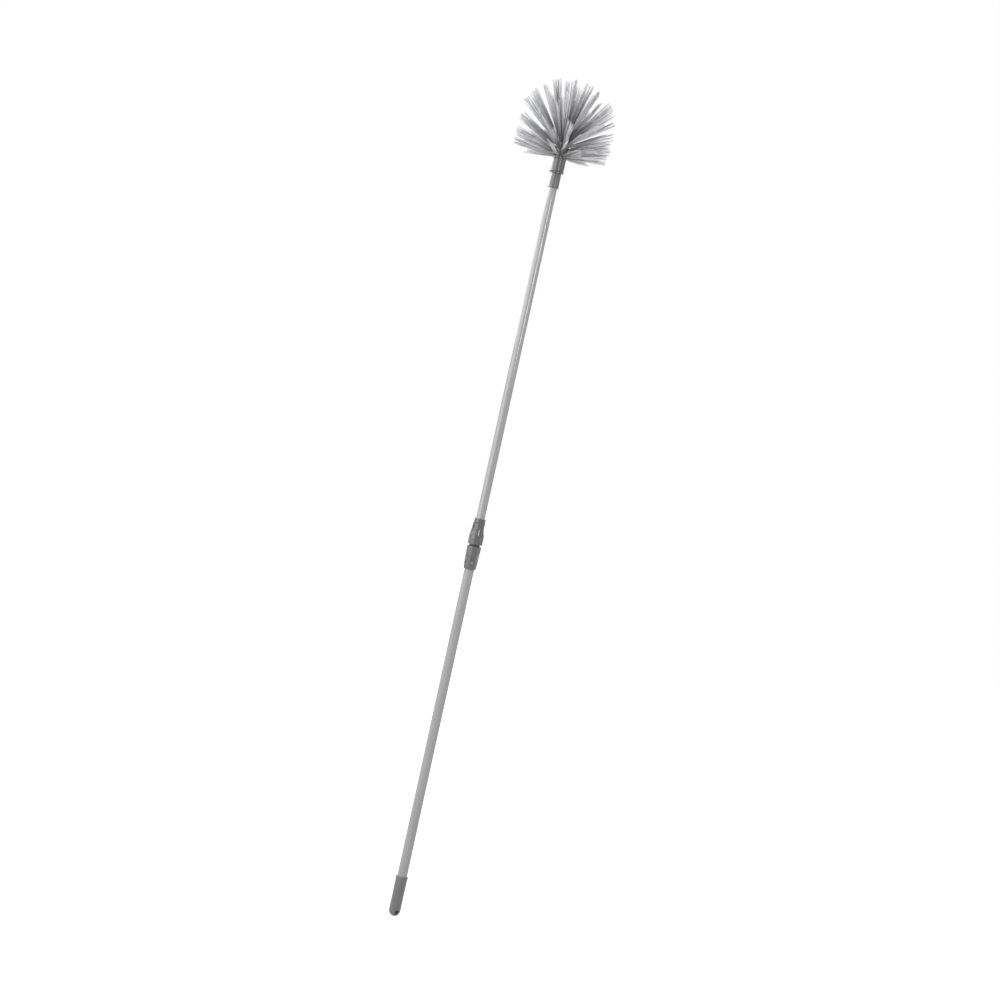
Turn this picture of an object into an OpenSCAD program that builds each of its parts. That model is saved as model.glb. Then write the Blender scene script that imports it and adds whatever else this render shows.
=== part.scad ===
// Telescopic cobweb brush: a two-stage pole with a twist lock, and a domed head of bristle tufts.
// The pole runs along +Z. The origin is on its axis, at the lowest point of the grip.
// Sizes are in millimetres, with the pole pulled out to its stop and the lock tight.

/* [Pole] */
// Outside diameter of the upper tube
inner_d = 19; // [16:0.5:24]
// Wall of the upper tube
inner_wall = 0.6; // [0.5:0.1:1]
// Length of the upper tube
inner_len = 824; // [500:1:1200]
// Wall of the lower tube
outer_wall = 0.6; // [0.5:0.1:1]
// Length of the lower tube
outer_len = 787; // [500:1:1200]
// Radial gap between the two tubes
tube_gap = 0.9; // [0.8:0.05:1.5]

/* [Grip] */
// Length of the grip
grip_len = 88; // [75:1:140]
// Thickness of the grip round the tube
grip_wall = 1.75; // [1.5:0.05:3]
// Extra radius of the grip at its mouth
grip_flare = 0.3; // [0.1:0.1:1]
// Height of the straight part of the grip
grip_straight = 52; // [40:1:60]
// Height of the lip round the grip's mouth
lip_h = 4; // [3:0.5:6]
// How far the lip stands out
lip_out = 0.4; // [0.3:0.1:1]
// Height of the lower tube's end above the grip's tip
tube_seat = 25; // [20:1:35]
// Diameter of the hanging hole
hang_d = 8; // [5:0.5:9]
// Height of the hanging hole above the grip's tip
hang_z = 10.3; // [9:0.1:13]

/* [Lock body] */
// Length of the lock body, without its neck
body_len = 50.7; // [48:0.1:70]
// How far the lock body covers the lower tube
tube_cover = 38; // [30:1:42]
// Thickness of the lock body round the tube, at its lower end
body_wall = 2.35; // [2:0.05:4]
// Extra radius of the lock body at its upper end
body_flare = 2; // [1:0.1:4]
// Radius of the lock body's rounded edges
body_edge = 2; // [1:0.1:2.5]
// Number of shallow finger flutes round the lock body
flute_count = 6; // [3:1:6]
// Width of a flute
flute_w = 10; // [8:0.1:11]
// Length of a flute
flute_len = 24; // [16:1:28]
// Depth of a flute
flute_depth = 1.5; // [1.2:0.1:1.8]
// Height of the middle of the flutes above the lock body's lower end
flute_mid = 24; // [20:1:28]
// Length of the neck that carries the nut
neck_len = 21.3; // [18:0.1:26]
// Wall of the neck
neck_wall = 2.2; // [2:0.1:3]

/* [Lock nut] */
// Gap left between the lock body and the nut
nut_gap = 4.3; // [3.5:0.1:6]
// Length of the nut
nut_len = 56; // [54:1:70]
// Wall of the nut's round skirt
nut_wall = 3.7; // [3:0.1:6]
// Length of the nut's round skirt
skirt_len = 19.4; // [17:0.1:21]
// Length of the part of the nut that narrows above the skirt
shoulder_len = 14; // [10:0.5:18]
// Thickness of the nut's ridges at their foot, above the shoulder
ridge_foot = 4; // [3.6:0.1:5]
// Thickness of the nut's ridges at their top
ridge_top = 3.3; // [2.8:0.1:3.5]
// Thickness of the nut in its three finger scoops
scoop_wall = 1.8; // [1.4:0.1:2.2]
// Height over which a scoop slopes in from the skirt
scoop_len = 16; // [12:0.5:20]
// Ledge left on the skirt below each scoop
scoop_ledge = 0.4; // [0.3:0.1:1]
// Space between a scoop and the skirt, and between its top and the collar
scoop_margin = 0.5; // [0.3:0.1:1.5]
// Width of a scoop at its foot
scoop_foot_w = 14; // [10:0.5:15]
// Width of a scoop below its arched top
scoop_top_w = 11; // [8:0.5:11.5]
// Height of the round collar at the nut's top
collar_h = 8.5; // [6:0.5:12]
// Wall of that collar
collar_wall = 2.2; // [2:0.1:2.8]
// Size of the chamfer round the nut's lower edge
nut_edge = 1.2; // [0.6:0.1:1.6]
// Depth of the nut's two grip grooves
groove_depth = 0.35; // [0.2:0.05:0.6]
// Distance between the grip grooves, and of the first from the skirt's end
groove_pitch = 5; // [3:0.5:7]

/* [Lock collet] */
// Outward run of the clamping cones per millimetre of height
cone_slope = 0.2; // [0.18:0.01:0.24]
// Depth of the cone seat in the neck
seat_depth = 8; // [6:0.5:9]
// Depth of the wide bore of the nut, up to its clamping cone
nut_bore_depth = 21; // [18:0.5:24]
// Wall of the collet at its thin ends
collet_tip = 0.45; // [0.3:0.05:0.8]
// Wall of the collet at its thick middle
collet_band = 1.95; // [1.6:0.05:2]
// Width of the collet's split
collet_split = 2.5; // [1.5:0.1:4]

/* [Guide] */
// Length of the guide plug below the upper tube
guide_len = 40; // [30:1:60]
// Length of the plug's spigot inside the upper tube
guide_spigot = 24; // [15:1:40]
// Air passage through the plug
vent_d = 8; // [4:0.5:10]
// Height of the slide ring
ring_h = 8; // [5:0.5:12]
// Thickness of the slide ring
ring_t = 1.2; // [0.8:0.1:1.6]
// Width of the slide ring's split
ring_split = 2; // [1:0.5:4]

/* [Tip fitting] */
// Height of the tip fitting's visible sleeve
tip_len = 32.4; // [30:0.1:45]
// Depth to which the upper tube goes into the sleeve
tip_socket = 26.7; // [20:0.1:27]
// Wall of the sleeve at its top
tip_wall = 1.95; // [1.5:0.05:3]
// Extra radius of the sleeve at its foot
tip_flare = 0.6; // [0.2:0.1:1.5]
// Diameter of the screw stud
stud_d = 21; // [18:0.5:22]
// Length of the screw stud
stud_len = 26; // [20:1:28]

/* [Brush head] */
// Outside diameter of the head's socket
socket_d = 30.5; // [28:0.5:34]
// Height of the head's socket
socket_len = 31.7; // [31.7:0.1:40]
// How far the rim at the socket's foot stands out
rim_out = 1.1; // [0.5:0.1:3]
// Height of that rim
rim_h = 2.6; // [2:0.1:5]
// Diameter of the core that carries the tufts
core_d = 30.4; // [29:0.2:34]
// Height of the straight part of the core
core_straight = 39.4; // [38:0.2:44]
// Diameter of the post inside the tuft rings
post_d = 18; // [14:0.5:19]
// Diameter of the post's thinner top, which fits the upper rings
post_top_d = 10; // [8:0.5:11]

/* [Bristles] */
// Diameter of the brush over its side tufts
brush_d = 206; // [160:2:240]
// Radius of the dome that the upper tips reach, about the top of the core
dome_r = 117; // [90:1:140]
// Height of the lowest row of tufts above the socket
first_row = 4.6; // [4:0.1:5]
// Distance between rows of tufts, along the core
row_pitch = 8; // [7.8:0.1:8.2]
// Distance between tufts round a row
tuft_gap = 10.6; // [10:0.1:14]
// Lean of the lowest row above the horizontal
lean_low = 8; // [6:1:12]
// Lean of the highest row above the horizontal
lean_high = 70; // [64:1:74]
// How far every other tuft of a row leans above that, and the rest below
lean_wave = 3; // [0:0.5:4]
// Width of a tuft at its root
root_w = 3.8; // [3.6:0.1:4.4]
// Width of a tuft at its tip
tip_w = 22; // [14:1:24]
// Thickness of a tuft at its root
root_t = 1.5; // [1.4:0.1:2]
// Thickness of a tuft at its tip
tip_t = 5.6; // [3:0.2:6]
// Thickness of a strand at its root
strand_d = 1; // [0.6:0.05:1.1]
// Depth to which a strand's root is set in the core
root_depth = 1.2; // [1:0.1:1.4]

/* [Fits] */
// Radial clearance of glued, pressed and running fits
snug = 0.05; // [0.02:0.01:0.08]
// Clearance between pieces that move past each other
run_gap = 0.3; // [0.2:0.05:0.35]

/* [Hidden] */
$fn = 96;
// Overshoot of a cut past the face that it opens
past = 1;

// Pole radii, from the upper tube outwards
inner_r = inner_d / 2;
outer_bore_r = inner_r + tube_gap;
outer_r = outer_bore_r + outer_wall;
pass_r = inner_r + run_gap;

// Grip
grip_r = outer_r + snug + grip_wall;
lip_z = grip_len - lip_h;
lip_r = grip_r + grip_flare + lip_out;

// Lock body and its neck
tube_top = tube_seat + outer_len;
body_z = tube_top - tube_cover;
body_top = body_z + body_len;
body_low_r = outer_r + snug + body_wall;
neck_r = pass_r + neck_wall;
neck_top = body_top + neck_len;
seat_z = neck_top - seat_depth;
// Turn of the flutes about the pole
flute_turn = -105;

// Nut
nut_z = body_top + nut_gap;
nut_top = nut_z + nut_len;
nut_bore_r = neck_r + run_gap;
nut_r = nut_bore_r + nut_wall;
skirt_top = nut_z + skirt_len;
shoulder_top = skirt_top + shoulder_len;
collar_z = nut_top - collar_h;
nut_cone_z = nut_z + nut_bore_depth;
nut_cone_len = (nut_bore_r - pass_r) / cone_slope;
scoop_r = pass_r + scoop_wall;
scoop_turn = 94;

// Collet: two cones that face the seat in the neck and the cone in the nut
collet_bore_r = inner_r + snug;
collet_tip_r = collet_bore_r + collet_tip;
collet_band_r = collet_bore_r + collet_band;
// A gap square to a cone, measured along the radius
cone_gap = run_gap * sqrt(1 + cone_slope * cone_slope);
function seat_height(r) = seat_z + (r + cone_gap - pass_r) / cone_slope;
function nut_cone_height(r) = nut_cone_z + (nut_bore_r - cone_gap - r) / cone_slope;

// Guide at the upper tube's foot, which stops just under the lock body's shoulder
inner_z = tube_top - run_gap;
guide_z = inner_z - guide_len;
guide_r = outer_bore_r - run_gap;
ring_r = outer_bore_r - snug;
ring_bore_r = ring_r - ring_t;
ring_z = guide_z + (guide_len - ring_h) / 2;

// Tip fitting and head
inner_top = inner_z + inner_len;
tip_z = inner_top - tip_socket;
tip_top = tip_z + tip_len;
tip_r = inner_r + snug + tip_wall;
stud_r = stud_d / 2;
head_z = tip_top + run_gap;
core_z = head_z + socket_len;
core_r = core_d / 2;
dome_z = core_z + core_straight;
ring_rows = 7;
lean_power = 1.7;
// Strands across a tuft, and through it
strand_cols = 4;
strand_rows = 2;
// A strand's tip is thinner than its root, and its length varies by a small share
strand_taper = 0.8;
length_spread = 0.05;
// Largest turn of a tuft's fan out of the plane through the pole, and the turn of the top one
fan_turn = 75;
crown_turn = 30;
// Turn of the first tuft of the lowest row about the pole
row_turn = -12;

// How far the pole slides in before the tip fitting meets the raised nut
thread_pitch = 3;
echo(travel = tip_z - nut_top - thread_pitch);
echo(longest = dome_z + core_r + dome_r, shortest = dome_z + core_r + dome_r - (tip_z - nut_top));

// Distance between the points of the lock body's curved profile
profile_step = 4;
// A direction whose level part is shorter than this counts as upright
upright_below = 0.01;

// Points of an arc about [x, y], from angle a to angle b
function arc(x, y, r, a, b, steps = 6) =
  [for (i = [0:steps]) let(t = a + (b - a) * i / steps) [x + r * cos(t), y + r * sin(t)]];

// Radius of the lock body at height h above its lower end, a taper that eases off upwards
function body_r(h) = body_low_r + body_flare * pow(h / body_len, 0.6);

// Place of tuft row k, as a distance along the core's outline and as [radius, height]
function row_s(k) = first_row + row_pitch * k;
function core_point(s) =
  s < core_straight
    ? [core_r, core_z + s]
    : let(t = (s - core_straight) / core_r * 180 / PI) [core_r * cos(t), dome_z + core_r * sin(t)];
function row_split(k) = k < 0 ? core_z : core_point(row_s(k + 0.5))[1];
function row_lean(k) = lean_low + (lean_high - lean_low) * pow(k / (ring_rows - 1), lean_power);
function row_tufts(k) = round(2 * PI * core_point(row_s(k))[0] / tuft_gap);

// How far a point lies outside the core, and which way is out there
function core_height(p) =
  p[2] < dome_z ? norm([p[0], p[1]]) - core_r : norm(p - [0, 0, dome_z]) - core_r;
function core_normal(p) =
  let(v = p[2] < dome_z ? [p[0], p[1], 0] : p - [0, 0, dome_z]) v / norm(v);

// Reach of a strand from root p along d: out to the side wall or to the dome, whichever is nearer
function reach(p, d) =
  let(
    run = norm([d[0], d[1]]),
    out = p[0] * d[0] + p[1] * d[1],
    room = brush_d * brush_d / 4 - p[0] * p[0] - p[1] * p[1],
    rel = p - [0, 0, dome_z + core_r],
    b = rel * d,
    to_dome = -b + sqrt(b * b - rel * rel + dome_r * dome_r)
  )
  run < upright_below
    ? to_dome
    : min(to_dome, (sqrt(out * out + run * run * room) - out) / (run * run));

module tube(r, wall, z, len) {
  translate([0, 0, z]) difference() {
    cylinder(r = r, h = len);
    translate([0, 0, -past]) cylinder(r = r - wall, h = len + 2 * past);
  }
}

module grip() {
  color([0.45, 0.45, 0.46]) difference() {
    union() {
      translate([0, 0, grip_r]) sphere(r = grip_r);
      rotate_extrude() polygon(concat(
        [[0, grip_r], [grip_r, grip_r], [grip_r, grip_straight], [grip_r + grip_flare, lip_z - lip_out]],
        [[lip_r, lip_z]],
        arc(lip_r - lip_out, grip_len - lip_out, lip_out, 0, 90, 3),
        [[0, grip_len]]
      ));
    }
    translate([0, 0, tube_seat]) cylinder(r = outer_r + snug, h = grip_len);
    translate([0, 0, hang_z]) rotate([90, 0, 0]) cylinder(d = hang_d, h = 4 * grip_r, center = true);
  }
}

module outer_tube() {
  color([0.66, 0.66, 0.67]) tube(outer_r, outer_wall, tube_seat, outer_len);
}

// A barrel-shaped cutter whose overlap with the lock body is a long shallow oval
module flute() {
  wall_r = body_r(flute_mid);
  edge_x = sqrt(wall_r * wall_r - flute_w * flute_w / 4);
  sink = flute_depth - (wall_r - edge_x);
  across_r = (flute_w * flute_w / 4 + sink * sink) / (2 * sink);
  along_r = (flute_len * flute_len / 4 + flute_depth * flute_depth) / (2 * flute_depth);
  translate([wall_r - flute_depth + across_r, 0, body_z + flute_mid])
    rotate_extrude() difference() {
      translate([across_r - along_r, 0]) circle(r = along_r);
      translate([-2 * along_r, -2 * along_r]) square([2 * along_r, 4 * along_r]);
    }
}

module lock_body() {
  top_r = body_r(body_len);
  color([0.47, 0.47, 0.48]) difference() {
    rotate_extrude() polygon(concat(
      [[0, body_z]],
      arc(body_r(body_edge) - body_edge, body_z + body_edge, body_edge, -90, 0),
      [for (h = [2 * body_edge:profile_step:body_len - 2 * body_edge]) [body_r(h), body_z + h]],
      arc(top_r - body_edge, body_top - body_edge, body_edge, 0, 90),
      [[neck_r, body_top], [neck_r, neck_top - run_gap], [neck_r - run_gap, neck_top], [0, neck_top]]
    ));
    translate([0, 0, body_z - past]) cylinder(r = outer_r + snug, h = tube_cover + past);
    translate([0, 0, body_z]) cylinder(r = pass_r, h = neck_top);
    translate([0, 0, seat_z])
      cylinder(r1 = pass_r, r2 = pass_r + cone_slope * (seat_depth + past), h = seat_depth + past);
    for (i = [0:flute_count - 1]) rotate([0, 0, flute_turn + 360 * i / flute_count]) flute();
  }
}

module lock_collet() {
  color([0.82, 0.82, 0.8]) difference() {
    rotate_extrude() polygon([
      [collet_bore_r, seat_height(collet_tip_r)],
      [collet_tip_r, seat_height(collet_tip_r)],
      [collet_band_r, seat_height(collet_band_r)],
      [collet_band_r, nut_cone_height(collet_band_r)],
      [collet_tip_r, nut_cone_height(collet_tip_r)],
      [collet_bore_r, nut_cone_height(collet_tip_r)]
    ]);
    translate([0, -collet_split / 2, seat_z]) cube([2 * nut_r, collet_split, nut_len]);
  }
}

// What one finger scoop takes off the nut: an arched window, cut down to a floor that runs round the nut
module scoop() {
  foot_z = skirt_top + scoop_margin;
  arch_r = scoop_top_w / 2;
  arch_z = collar_z - scoop_margin - arch_r;
  difference() {
    rotate([90, 0, 90]) linear_extrude(height = 2 * nut_r) polygon(concat(
      [[-scoop_foot_w / 2, foot_z], [scoop_foot_w / 2, foot_z]],
      arc(0, arch_z, arch_r, 0, 180, 12)
    ));
    rotate_extrude() polygon([
      [0, nut_z],
      [nut_r - scoop_ledge, nut_z],
      [nut_r - scoop_ledge, foot_z],
      [scoop_r, foot_z + scoop_len],
      [scoop_r, nut_top],
      [0, nut_top]
    ]);
  }
}

module lock_nut() {
  collar_r = pass_r + collar_wall;
  color([0.47, 0.47, 0.48]) difference() {
    rotate_extrude() polygon([
      [0, nut_z],
      [nut_r - nut_edge, nut_z],
      [nut_r, nut_z + nut_edge],
      for (i = [1, 2], e = [-1, 0, 1])
        [nut_r - (e == 0 ? groove_depth : 0), nut_z + groove_pitch * i + e * groove_depth],
      [nut_r, skirt_top],
      [pass_r + ridge_foot, shoulder_top],
      [pass_r + ridge_top, collar_z],
      [collar_r, collar_z],
      [collar_r, nut_top - collar_wall / 2],
      [collar_r - collar_wall / 2, nut_top],
      [0, nut_top]
    ]);
    translate([0, 0, nut_z - past]) cylinder(r = nut_bore_r, h = nut_bore_depth + past);
    translate([0, 0, nut_cone_z]) cylinder(r1 = nut_bore_r, r2 = pass_r, h = nut_cone_len);
    translate([0, 0, nut_z]) cylinder(r = pass_r, h = nut_len + past);
    for (i = [0:2]) rotate([0, 0, scoop_turn + 120 * i]) scoop();
  }
}

module inner_tube() {
  color([0.7, 0.7, 0.71]) tube(inner_r, inner_wall, inner_z, inner_len);
}

module guide_plug() {
  spigot_r = inner_r - inner_wall - snug;
  groove_r = ring_bore_r - snug;
  color([0.25, 0.25, 0.26]) difference() {
    rotate_extrude() polygon([
      [vent_d / 2, guide_z],
      [guide_r - run_gap, guide_z],
      [guide_r, guide_z + run_gap],
      [guide_r, ring_z - run_gap],
      [groove_r, ring_z - run_gap],
      [groove_r, ring_z + ring_h + run_gap],
      [guide_r, ring_z + ring_h + run_gap],
      [guide_r, inner_z],
      [spigot_r, inner_z],
      [spigot_r, inner_z + guide_spigot - run_gap],
      [spigot_r - run_gap, inner_z + guide_spigot],
      [vent_d / 2, inner_z + guide_spigot]
    ]);
  }
}

module guide_ring() {
  color([0.85, 0.85, 0.83]) difference() {
    tube(ring_r, ring_t, ring_z, ring_h);
    translate([0, -ring_split / 2, ring_z - past]) cube([2 * ring_r, ring_split, ring_h + 2 * past]);
  }
}

module tip_fitting() {
  foot_r = tip_r + tip_flare;
  lip = 0.3;
  color([0.45, 0.45, 0.46]) difference() {
    rotate_extrude() polygon([
      [0, tip_z],
      [foot_r, tip_z],
      [foot_r + lip, tip_z + lip],
      [foot_r + lip, tip_z + 4 * lip],
      [foot_r, tip_z + 5 * lip],
      [tip_r, tip_top],
      [stud_r, tip_top],
      [stud_r, tip_top + stud_len - past],
      [stud_r - past, tip_top + stud_len],
      [0, tip_top + stud_len]
    ]);
    translate([0, 0, tip_z - past]) cylinder(r = inner_r + snug, h = tip_socket + past);
  }
}

module head_block() {
  socket_r = socket_d / 2;
  edge = 0.5;
  color([0.42, 0.42, 0.43]) difference() {
    rotate_extrude() polygon([
      [0, head_z],
      [socket_r + rim_out - edge, head_z],
      [socket_r + rim_out, head_z + edge],
      [socket_r + rim_out, head_z + rim_h - edge],
      [socket_r + rim_out - edge, head_z + rim_h],
      [socket_r, head_z + rim_h],
      [socket_r, core_z - edge],
      [socket_r - edge, core_z],
      [post_d / 2, core_z],
      [post_d / 2, row_split(4)],
      [post_top_d / 2, row_split(4)],
      [post_top_d / 2, row_split(5)],
      [0, row_split(5)]
    ]);
    translate([0, 0, head_z - past]) cylinder(r = stud_r + run_gap, h = stud_len + 2 * past);
  }
}

// A slice of the core between two heights, bored to fit the post
module core_slice(low, high, bore_r) {
  difference() {
    intersection() {
      union() {
        translate([0, 0, core_z]) cylinder(r = core_r, h = core_straight);
        translate([0, 0, dome_z]) sphere(r = core_r);
      }
      translate([0, 0, low]) cylinder(r = 2 * core_r, h = high - low);
    }
    translate([0, 0, low - past]) cylinder(r = bore_r, h = high - low + 2 * past);
  }
}

// A three-sided strand between two points
module strand(foot, tip) {
  d = (tip - foot) / norm(tip - foot);
  side = cross(d, [d[2], d[0], d[1]]);
  u = side / norm(side);
  v = cross(d, u);
  polyhedron(
    points = [
      for (end = [[foot, strand_d / 2], [tip, strand_d / 2 * strand_taper]], a = [0, 120, 240])
        end[0] + end[1] * (cos(a) * u + sin(a) * v)
    ],
    faces = concat(
      [[0, 1, 2], [5, 4, 3]],
      [for (k = [0:2]) [k, k + 3, (k + 1) % 3 + 3]],
      [for (k = [0:2]) [k, (k + 1) % 3 + 3, (k + 1) % 3]]
    )
  );
}

// A flat fan of strands that spreads from root p along d, turned about d by the angle turn
module tuft(p, d, turn, seed) {
  flat = cross([0, 0, 1], d);
  across = norm(flat) < upright_below ? [1, 0, 0] : flat / norm(flat);
  up = cross(d, across);
  wide = cos(turn) * up + sin(turn) * across;
  thin = cos(turn) * across - sin(turn) * up;
  len = reach(p, d);
  cut = rands(0, length_spread, strand_cols * strand_rows, seed);
  for (i = [0:strand_cols - 1], j = [0:strand_rows - 1]) {
    w = i / (strand_cols - 1) - 0.5;
    t = j / (strand_rows - 1) - 0.5;
    foot = p + w * root_w * wide + t * root_t * thin;
    aim = p + len * d + w * tip_w * wide + t * tip_t * thin;
    way = (aim - foot) / norm(aim - foot);
    tip = foot + reach(foot, way) * (1 - cut[i * strand_rows + j]) * way;
    strand(foot - way * (root_depth + core_height(foot)) / (core_normal(foot) * way), tip);
  }
}

// Row k of tufts, counted from the socket, with the slice of the core that holds it
module tuft_row(k) {
  count = row_tufts(k);
  root = core_point(row_s(k));
  last = k == ring_rows - 1;
  color([0.4, 0.4, 0.41])
    core_slice(row_split(k - 1), last ? dome_z + 2 * core_r : row_split(k),
      (k > 4 ? post_top_d : post_d) / 2 + snug);
  color([0.68, 0.68, 0.69]) for (j = [0:count - 1]) {
    a = row_turn + 360 * (j + k / 2) / count;
    lean = row_lean(k) + (j % 2 == 0 ? lean_wave : -lean_wave);
    tuft(
      [root[0] * cos(a), root[0] * sin(a), root[1]],
      [cos(lean) * cos(a), cos(lean) * sin(a), sin(lean)],
      fan_turn * sin(100 * (j + 3 * k)),
      20 * k + j
    );
  }
}

// The single upright tuft at the top, in a plug that stands on the post
module tuft_crown() {
  color([0.4, 0.4, 0.41]) intersection() {
    core_slice(row_split(ring_rows - 2), dome_z + 2 * core_r, 0);
    cylinder(d = post_top_d, h = dome_z + 2 * core_r);
  }
  color([0.68, 0.68, 0.69]) tuft([0, 0, dome_z + core_r], [0, 0, 1], crown_turn, 200);
}

grip();
outer_tube();
lock_body();
lock_collet();
lock_nut();
inner_tube();
guide_plug();
guide_ring();
tip_fitting();
head_block();
tuft_row(0);  // tuft_row_1
tuft_row(1);  // tuft_row_2
tuft_row(2);  // tuft_row_3
tuft_row(3);  // tuft_row_4
tuft_row(4);  // tuft_row_5
tuft_row(5);  // tuft_row_6
tuft_row(6);  // tuft_row_7
tuft_crown();
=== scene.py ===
# %% [markdown]
# # A telescopic cobweb brush
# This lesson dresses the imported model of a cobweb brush: a hand grip, two lacquered tubes joined by a
# twist lock, and a screwed-on head with sixty fan-shaped tufts. Each plastic part is spun from its
# outline, hollows for the fingers are pressed into the lock, and the bristles are copied from a
# single strand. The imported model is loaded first. It fixes every size and place, and the new pieces
# sit in it. Shapes are given in millimetres, and become metres as they are built.

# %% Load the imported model
import math
import random

import bmesh
import bpy
from mathutils import Matrix, Vector


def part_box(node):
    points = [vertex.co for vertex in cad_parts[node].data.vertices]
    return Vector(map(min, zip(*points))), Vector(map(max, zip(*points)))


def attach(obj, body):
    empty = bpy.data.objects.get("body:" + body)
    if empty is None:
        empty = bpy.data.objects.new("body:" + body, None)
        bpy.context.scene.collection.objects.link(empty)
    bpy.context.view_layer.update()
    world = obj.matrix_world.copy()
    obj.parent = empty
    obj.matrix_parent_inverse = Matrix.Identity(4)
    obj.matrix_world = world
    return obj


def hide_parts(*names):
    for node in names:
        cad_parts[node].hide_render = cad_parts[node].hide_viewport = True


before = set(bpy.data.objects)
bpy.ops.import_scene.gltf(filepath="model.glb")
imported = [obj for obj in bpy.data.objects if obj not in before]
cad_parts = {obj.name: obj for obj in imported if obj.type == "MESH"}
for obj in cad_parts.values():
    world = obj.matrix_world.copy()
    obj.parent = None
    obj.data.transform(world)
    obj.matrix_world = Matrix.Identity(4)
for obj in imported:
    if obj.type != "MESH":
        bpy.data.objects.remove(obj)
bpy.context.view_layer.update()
MM = 0.001

# %% [markdown]
# ## The camera
# The photograph shows the brush leaning to the right by twelve degrees, small in a square picture.
# The brush stays upright here and the camera is rolled instead. It stands at chest height and looks
# down by three degrees, so that the grip is seen a little from above and the head a little from below.

# %% Place the camera
VIEW_AZIMUTH = math.radians(-27)
VIEW_PITCH = math.radians(3)
VIEW_ROLL = math.radians(12.38)
VIEW_DISTANCE = 4.5
AIM_HEIGHT = 0.9337
AIM_SIDE = 0.0326

view_right = Vector((math.cos(VIEW_AZIMUTH), math.sin(VIEW_AZIMUTH), 0))
view_level_back = Vector((math.sin(VIEW_AZIMUTH), -math.cos(VIEW_AZIMUTH), 0))
view_back = view_level_back * math.cos(VIEW_PITCH) + Vector((0, 0, math.sin(VIEW_PITCH)))

camera_data = bpy.data.cameras.new("camera")
camera_data.lens = 75.28
camera_data.sensor_width = 36
camera = bpy.data.objects.new("camera", camera_data)
bpy.context.scene.collection.objects.link(camera)
bpy.context.scene.camera = camera
camera.location = Vector((0, 0, AIM_HEIGHT)) + view_right * AIM_SIDE + view_back * VIEW_DISTANCE
turn_up = (-view_back).to_track_quat("-Z", "Y")
camera.rotation_mode = "QUATERNION"
camera.rotation_quaternion = turn_up @ Matrix.Rotation(VIEW_ROLL, 3, "Z").to_quaternion()
print("camera at", tuple(round(c, 3) for c in camera.location))

# %% [markdown]
# ## Tools for building node materials
# A material is a small network of nodes. A few short helpers keep it readable. They start a material,
# add a node with its settings, map a value from one range to another, and mix colours. One adds noise
# that is measured in real sizes, so the same number means the same grain on a small ring and on a
# long tube.

# %% Start materials and add nodes
def start_material(name):
    """A new node material with one shader, as (material, its node tree, its shader)."""
    material = bpy.data.materials.new(name)
    material.use_nodes = True
    tree = material.node_tree
    return material, tree, tree.nodes["Principled BSDF"]


def add_node(tree, kind, links=None, **settings):
    """Adds a node. links gives each input by name or number: a value, or another node's output."""
    node = tree.nodes.new("ShaderNode" + kind)
    for name, value in settings.items():
        setattr(node, name, value)
    for name, value in (links or {}).items():
        if isinstance(value, bpy.types.NodeSocket):
            tree.links.new(value, node.inputs[name])
        else:
            node.inputs[name].default_value = value
    return node


def object_place(tree, stretch=(1, 1, 1)):
    """The place on the piece in metres, with each axis multiplied by its stretch."""
    place = add_node(tree, "TexCoord").outputs["Object"]
    return add_node(tree, "Mapping", {"Vector": place, "Scale": stretch}).outputs["Vector"]


def grain(tree, size, detail=2.0, stretch=(1, 1, 1)):
    """Noise whose spots are about size metres wide, as a value round one half."""
    links = {"Vector": object_place(tree, stretch), "Scale": 1 / size, "Detail": detail}
    return add_node(tree, "TexNoise", links).outputs["Fac"]


def spread(tree, value, source, target):
    """Maps a value from the source range to the target range, and holds it inside."""
    links = {"Value": value, "From Min": source[0], "From Max": source[1],
             "To Min": target[0], "To Max": target[1]}
    return add_node(tree, "MapRange", links).outputs["Result"]


def blend_colour(tree, share, first, second):
    """Mixes two colours, or outputs, by a share from 0 to 1."""
    mix = tree.nodes.new("ShaderNodeMix")
    mix.data_type = "RGBA"
    for socket, value in ((mix.inputs[0], share), (mix.inputs[6], first), (mix.inputs[7], second)):
        if isinstance(value, bpy.types.NodeSocket):
            tree.links.new(value, socket)
        else:
            socket.default_value = value
    return mix.outputs[2]


def grey(level):
    """A colour as four numbers, with the faint blue of grey plastic."""
    return (level, level, level * 1.02, 1)


print("material helpers ready")

# %% [markdown]
# ## Moulded plastic
# Grip, lock, sleeve and socket are moulded in grey plastic. Such a surface is never one flat colour.
# The tint clouds a little over a few centimetres, smears make it more or less shiny, and hands rub
# the edges that stand out until they are paler. How far an edge stands out is what Blender calls
# pointiness. The mould leaves a fine grain, which is a bump. The lock's thread, sunk between body
# and nut, gets painted shade: a dark tint and less shine.

# %% Plastics
CLOUD_SIZE = 14 * MM
SMEAR_SIZE = 5 * MM
# Painted shade: the thread sunk between lock body and nut gets a dark tint and less shine.
SHADED_THREAD_R = 12.6 * MM
SHADED_THREAD_TOP = 860 * MM
THREAD_SHADE_LEVEL = 0.06


def painted_shade_share(tree, radius, top):
    """A share of 1 inside a radius and below a height, where the thread gets painted shade, and 0
    elsewhere.
    """
    place = add_node(tree, "TexCoord").outputs["Object"]
    level = add_node(tree, "VectorMath", {0: place, 1: (1, 1, 0)}, operation="MULTIPLY").outputs["Vector"]
    out = add_node(tree, "VectorMath", {0: level}, operation="LENGTH").outputs["Value"]
    height = add_node(tree, "SeparateXYZ", {"Vector": place}).outputs["Z"]
    inside = spread(tree, out, (radius, radius + 0.4 * MM), (1, 0))
    below = spread(tree, height, (top, top + 1 * MM), (1, 0))
    return add_node(tree, "Math", {0: inside, 1: below}, operation="MULTIPLY").outputs[0]


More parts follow.
